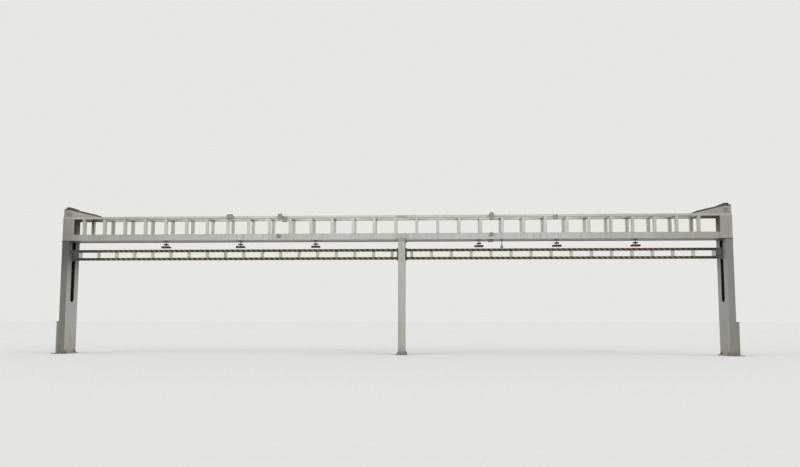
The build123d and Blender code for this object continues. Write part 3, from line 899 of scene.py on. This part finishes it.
def add_pendant():
    """A small hooded device that hangs on a tube under the front of the soffit."""
    place = Matrix.Translation((PENDANT_X, SOFFIT_DEVICE_Y, underside()))
    flange = [(0.092, 0), (0.092, -0.006), (0.070, -0.007)]
    junction = [(0.066, -0.006), (0.066, -0.060), (0.058, -0.068), (0.030, -0.074), (0.022, -0.082)]
    tube = [(0.022, -0.078), (0.022, -0.295)]
    head = [(0.024, -0.290), (0.052, -0.302), (0.068, -0.320), (0.070, -0.385), (0.062, -0.392)]
    band = [(0.073, -0.324), (0.073, -0.332), (0.069, -0.334)]
    pendant = Pile()
    for profile, sides in ((flange, 28), (junction, 28), (tube, 20), (head, 28), (band, 28)):
        pendant.turned(profile, sides, place)
    for i in range(4):
        turn = Matrix.Rotation(math.pi * i / 2 + 0.5, 4, "Z")
        screw = facing((0.079, 0, -0.006), (0, 0, -1))
        pendant.copy(BOLT_M10, place @ turn @ screw)
    piece("pendant_device", pendant, "cabinet_paint", bevel=0.001, material=DEVICE_PAINT)
    glass = Pile()
    dome = [(0.056, -0.391), (0.053, -0.402), (0.044, -0.414), (0.030, -0.423)]
    dome += [(0.012, -0.428), (0.002, -0.429)]
    glass.turned(dome, 28, place)
    piece("pendant_glass", glass, "sensor_case", material=LENS_GLASS)


def add_soffit_case():
    """A flat cased device on a plate under the front of the soffit."""
    length, depth, tall = SOFFIT_CASE_SIZE
    x, y = SOFFIT_CASE_X, SOFFIT_DEVICE_Y
    top = underside()
    foot = top - tall
    case = Pile()
    plate = (top - 0.005, top)
    case.block((x - length / 2 - 0.03, x + length / 2 + 0.03), (y - 0.06, y + 0.06), plate)
    for way in (-1, 1):
        for side in (-1, 1):
            spot = (x + way * (length / 2 + 0.016), y + side * 0.042, plate[0])
            case.copy(BOLT_M10, facing(spot, (0, 0, -1)))
        case.turned(gland(0.011), 12, facing((x + way * length / 2, y, top - 0.04), (way, 0, 0)))
    lid = foot + 0.016
    case.block((x - length / 2, x + length / 2), (y - depth / 2, y + depth / 2), (lid, top - 0.004))
    lid_xs = (x - length / 2 + 0.005, x + length / 2 - 0.005)
    lid_ys = (y - depth / 2 + 0.005, y + depth / 2 - 0.005)
    case.block(lid_xs, lid_ys, (foot, lid + 0.001))
    for spot_x, spot_y in rim(lid_xs, lid_ys, 0.012, 0.2):
        case.turned(SCREW_HEAD, 12, facing((spot_x, spot_y, foot), (0, 0, -1)))
    piece("soffit_case", case, "cabinet_paint", bevel=0.001, material=DEVICE_PAINT)


def lift_post_places(side):
    """The limits along X of each post of a lift beam, read from the corners of its mesh."""
    mesh = nodes[f"{side}_lift_posts"].data
    xs = sorted({round(vertex.co.x, 4) for vertex in mesh.vertices})
    outer = []
    for x in xs:
        if not outer or x - outer[-1][1] > 0.2:
            outer.append([x, x])
        else:
            outer[-1][1] = x
    return outer


def add_lift_details():
    """Welds, bar end caps and end plate bolts of the lift beams."""
    for side, sign in SIDES:
        body = f"{side}_lift"
        low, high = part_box(f"{side}_lift_posts")
        welds = Pile()
        for xs in lift_post_places(side):
            weld_ring(welds, xs, (low.y, high.y), low.z, 1, 0.007)
            weld_ring(welds, xs, (low.y, high.y), high.z, -1, 0.007)
        piece(f"{side}_lift_welds", welds, "lift_paint", body=body)

        plate_low, plate_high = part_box(f"{side}_lift_end_plate")
        face = end_xs(f"{side}_lift_end_plate", sign)[1]
        middle = (plate_low.z + plate_high.z) / 2
        bolts = Pile()
        for y in (plate_low.y + 0.022, plate_high.y - 0.022):
            for z in (middle - 0.1, middle, middle + 0.1, plate_low.z + 0.018, plate_high.z - 0.018):
                bolts.copy(BOLT_M16, facing((face, y, z), (sign, 0, 0)))
        end = end_xs(f"{side}_lift_bottom_bar", sign)[1]
        bottom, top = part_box(f"{side}_lift_bottom_bar")[0].z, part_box(f"{side}_lift_top_bar")[1].z
        for way in (-1, 1):
            for x in (end + sign * 0.05, end + sign * 0.12):
                for z in spread(bottom + 0.05, top - 0.05, 0.11):
                    bolts.copy(NUT_M16, facing((x, way * 0.03, z), (0, way, 0)))
        piece(f"{side}_lift_bolts", bolts, "carriage_steel", body=body, bevel=0.0008)

        caps = Pile()
        for bar in ("top", "bottom"):
            low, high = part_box(f"{side}_lift_{bar}_bar")
            z = (low.z + high.z) / 2
            for way in (-1, 1):
                caps.block((end, end + sign * 0.006), (way * 0.032, way * 0.057), (z - 0.057, z + 0.057))
        piece(f"{side}_bar_caps", caps, "hazard_bar", body=body, bevel=0.001)


def stage_material(name, seen, felt):
    """Matt colour that the camera and reflections see pale, while it sends less light up."""
    n = Nodes(name)
    rays = n.add("ShaderNodeLightPath").outputs
    shown = n.math("MAXIMUM", rays["Is Camera Ray"], rays["Is Glossy Ray"])
    shown = n.math("MAXIMUM", shown, rays["Is Transmission Ray"])
    n.feed(n.shader, "Base Color", n.mix(shown, felt, seen))
    n.feed(n.shader, "Roughness", 0.9)
    n.feed(n.shader, "Specular IOR Level", 0.0)
    return n.material


def add_floor():
    """A plain pale floor that reaches to the horizon."""
    corners = [(i * FLOOR_HALF, j * FLOOR_HALF, 0) for i, j in ((-1, -1), (1, -1), (1, 1), (-1, 1))]
    mesh = bpy.data.meshes.new("floor")
    mesh.from_pydata(corners, [], [(0, 1, 2, 3)])
    mesh.materials.append(stage_material("floor", FLOOR_SEEN, FLOOR_FELT))
    floor = bpy.data.objects.new("floor", mesh)
    scene.collection.objects.link(floor)


def add_light():
    """An even pale surround, with a broad soft lamp on each side of the camera."""
    world = bpy.data.worlds.new("surround")
    scene.world = world
    world.use_nodes = True
    tree = world.node_tree
    tree.nodes.clear()
    rays = tree.nodes.new("ShaderNodeLightPath").outputs
    seen = tree.nodes.new("ShaderNodeBackground")
    seen.inputs["Color"].default_value = (*SURROUND_SEEN, 1)
    felt = tree.nodes.new("ShaderNodeBackground")
    felt.inputs["Color"].default_value = (*SURROUND_FELT, 1)
    shown = rays["Is Camera Ray"]
    for name in ("Is Glossy Ray", "Is Transmission Ray"):
        either = tree.nodes.new("ShaderNodeMath")
        either.operation = "MAXIMUM"
        tree.links.new(shown, either.inputs[0])
        tree.links.new(rays[name], either.inputs[1])
        shown = either.outputs[0]
    blend = tree.nodes.new("ShaderNodeMixShader")
    tree.links.new(shown, blend.inputs[0])
    tree.links.new(felt.outputs[0], blend.inputs[1])
    tree.links.new(seen.outputs[0], blend.inputs[2])
    output = tree.nodes.new("ShaderNodeOutputWorld")
    tree.links.new(blend.outputs[0], output.inputs["Surface"])
    for name, way in (("left_lamp", -1), ("right_lamp", 1)):
        lamp = bpy.data.lights.new(name, "SUN")
        lamp.energy = LAMP_POWER
        lamp.angle = LAMP_ANGLE
        obj = bpy.data.objects.new(name, lamp)
        obj.rotation_euler = (LAMP_TILT, 0, way * LAMP_AZIMUTH)
        scene.collection.objects.link(obj)


add_camera()
dress_nodes()
add_feet()
add_rail_bolts()
add_splices()
add_post_welds()
add_soffit_bolts()
add_end_screws()
add_housing_trim()
add_cabinet_fittings()
add_sensor_fittings()
add_chord_devices()
add_pendant()
add_soffit_case()
add_lift_details()
add_floor()
add_light()
